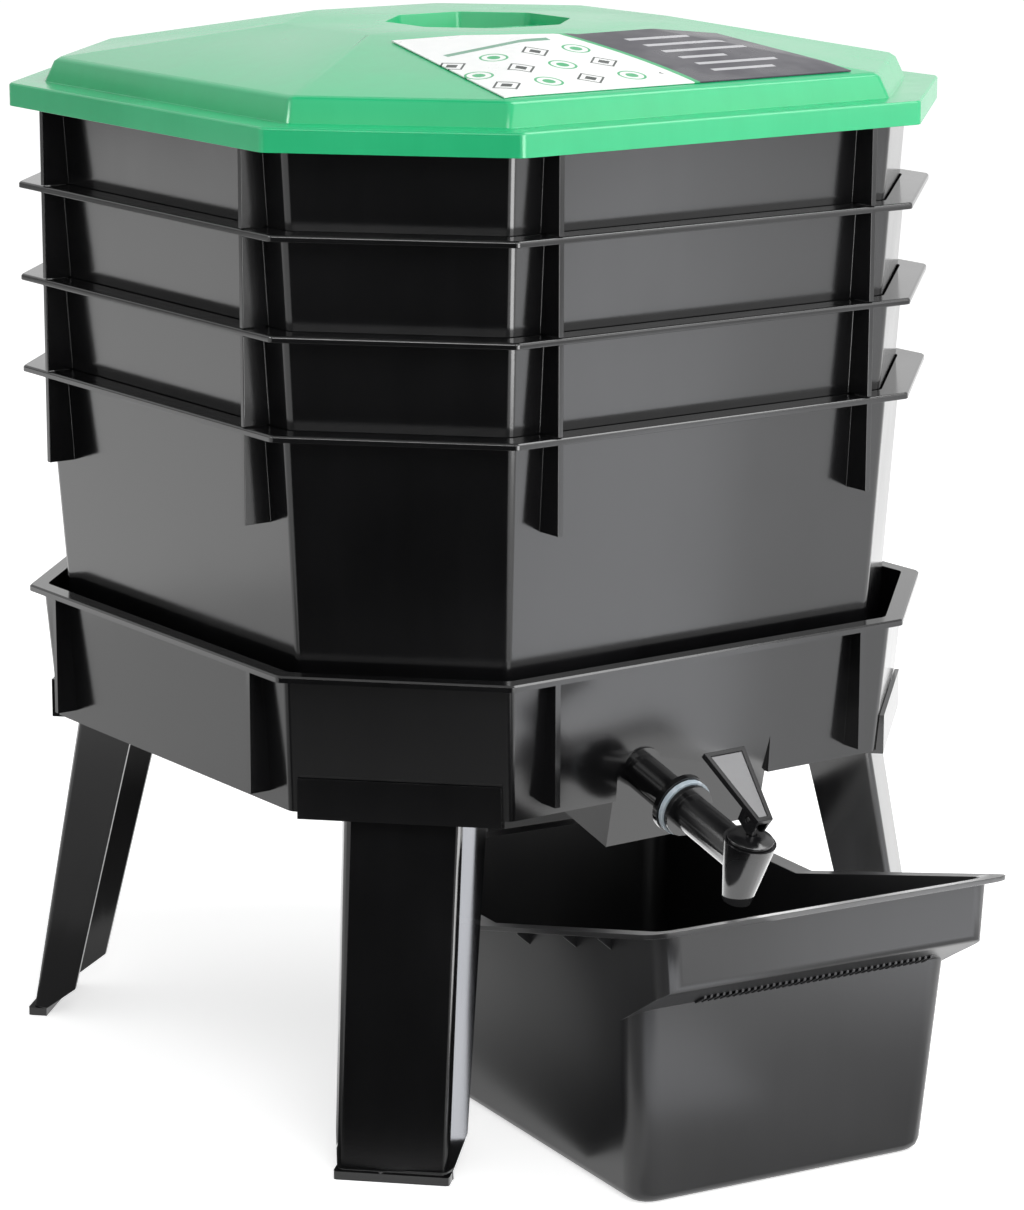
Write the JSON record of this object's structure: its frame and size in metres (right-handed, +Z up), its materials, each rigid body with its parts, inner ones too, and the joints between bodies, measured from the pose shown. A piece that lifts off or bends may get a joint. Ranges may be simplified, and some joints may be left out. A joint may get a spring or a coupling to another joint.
{
  "type": "wormery",
  "caption": "Octagonal stacked worm composter: nested perforated trays on a collector base with splayed channel legs, green lid, drain tap and collection bin.",
  "frame": {"origin": "on the floor, under the middle of the whole object's bounding box", "axes": "+Z up; -Y is the side with the tap and the bin; +X to the right seen from there"},
  "size_m": [0.44, 0.5696, 0.5737],
  "materials": {
    "black_plastic": "glossy moulded black",
    "bin_plastic": "semi-gloss moulded black",
    "green_plastic": "semi-gloss moulded green",
    "label_film": "printed film",
    "tap_plastic": "glossy black",
    "pale_rubber": "pale grey sealing washer",
    "black_rubber": "black rubber"
  },
  "bodies": {
    "base": {"base_tray": "black_plastic", "leg_front_left": "black_plastic", "leg_front_right": "black_plastic", "leg_back_left": "black_plastic", "leg_back_right": "black_plastic", "tap_body": "tap_plastic", "tap_bonnet": "tap_plastic", "tap_washer_outer": "pale_rubber", "tap_washer_inner": "black_rubber", "tap_lock_nut": "tap_plastic"},
    "tray_1": {"tray_1": "black_plastic"},
    "tray_2": {"tray_2": "black_plastic"},
    "tray_3": {"tray_3": "black_plastic"},
    "tray_4": {"tray_4": "black_plastic"},
    "lid": {"lid": "green_plastic", "lid_label": "label_film"},
    "tap_stem": {"tap_stem": "tap_plastic", "tap_seat_cup": "black_rubber"},
    "tap_lever": {"tap_lever": "tap_plastic", "tap_lever_pin": "tap_plastic"},
    "bin": {"collection_bin": "bin_plastic"}
  },
  "joints": [
    {"name": "tray_1_lift", "type": "slide", "parent": "base", "child": "tray_1", "axis": [0, 0, 1], "range_m": [0, 0.16]},
    {"name": "tray_2_lift", "type": "slide", "parent": "tray_1", "child": "tray_2", "axis": [0, 0, 1], "range_m": [0, 0.16]},
    {"name": "tray_3_lift", "type": "slide", "parent": "tray_2", "child": "tray_3", "axis": [0, 0, 1], "range_m": [0, 0.16]},
    {"name": "tray_4_lift", "type": "slide", "parent": "tray_3", "child": "tray_4", "axis": [0, 0, 1], "range_m": [0, 0.16]},
    {"name": "lid_lift", "type": "slide", "parent": "tray_4", "child": "lid", "axis": [0, 0, 1], "range_m": [0, 0.12]},
    {"name": "stem_lift", "type": "slide", "parent": "base", "child": "tap_stem", "axis": [0, -0.284, 0.9588], "range_m": [0, 0.0045]},
    {"name": "lever_tip", "type": "hinge", "parent": "tap_stem", "child": "tap_lever", "pos_m": [-0.038, -0.23174, 0.19807], "axis": [1, 0, 0], "range_deg": [0, 50]},
    {"name": "bin_slide", "type": "slide", "parent": "base", "child": "bin", "axis": [-0.1115, -0.9938, 0], "range_m": [0, 0.25]}
  ],
  "couplings": [
    {"joint": "stem_lift", "follows": "lever_tip", "m_per_rad": 0.0051}
  ]
}
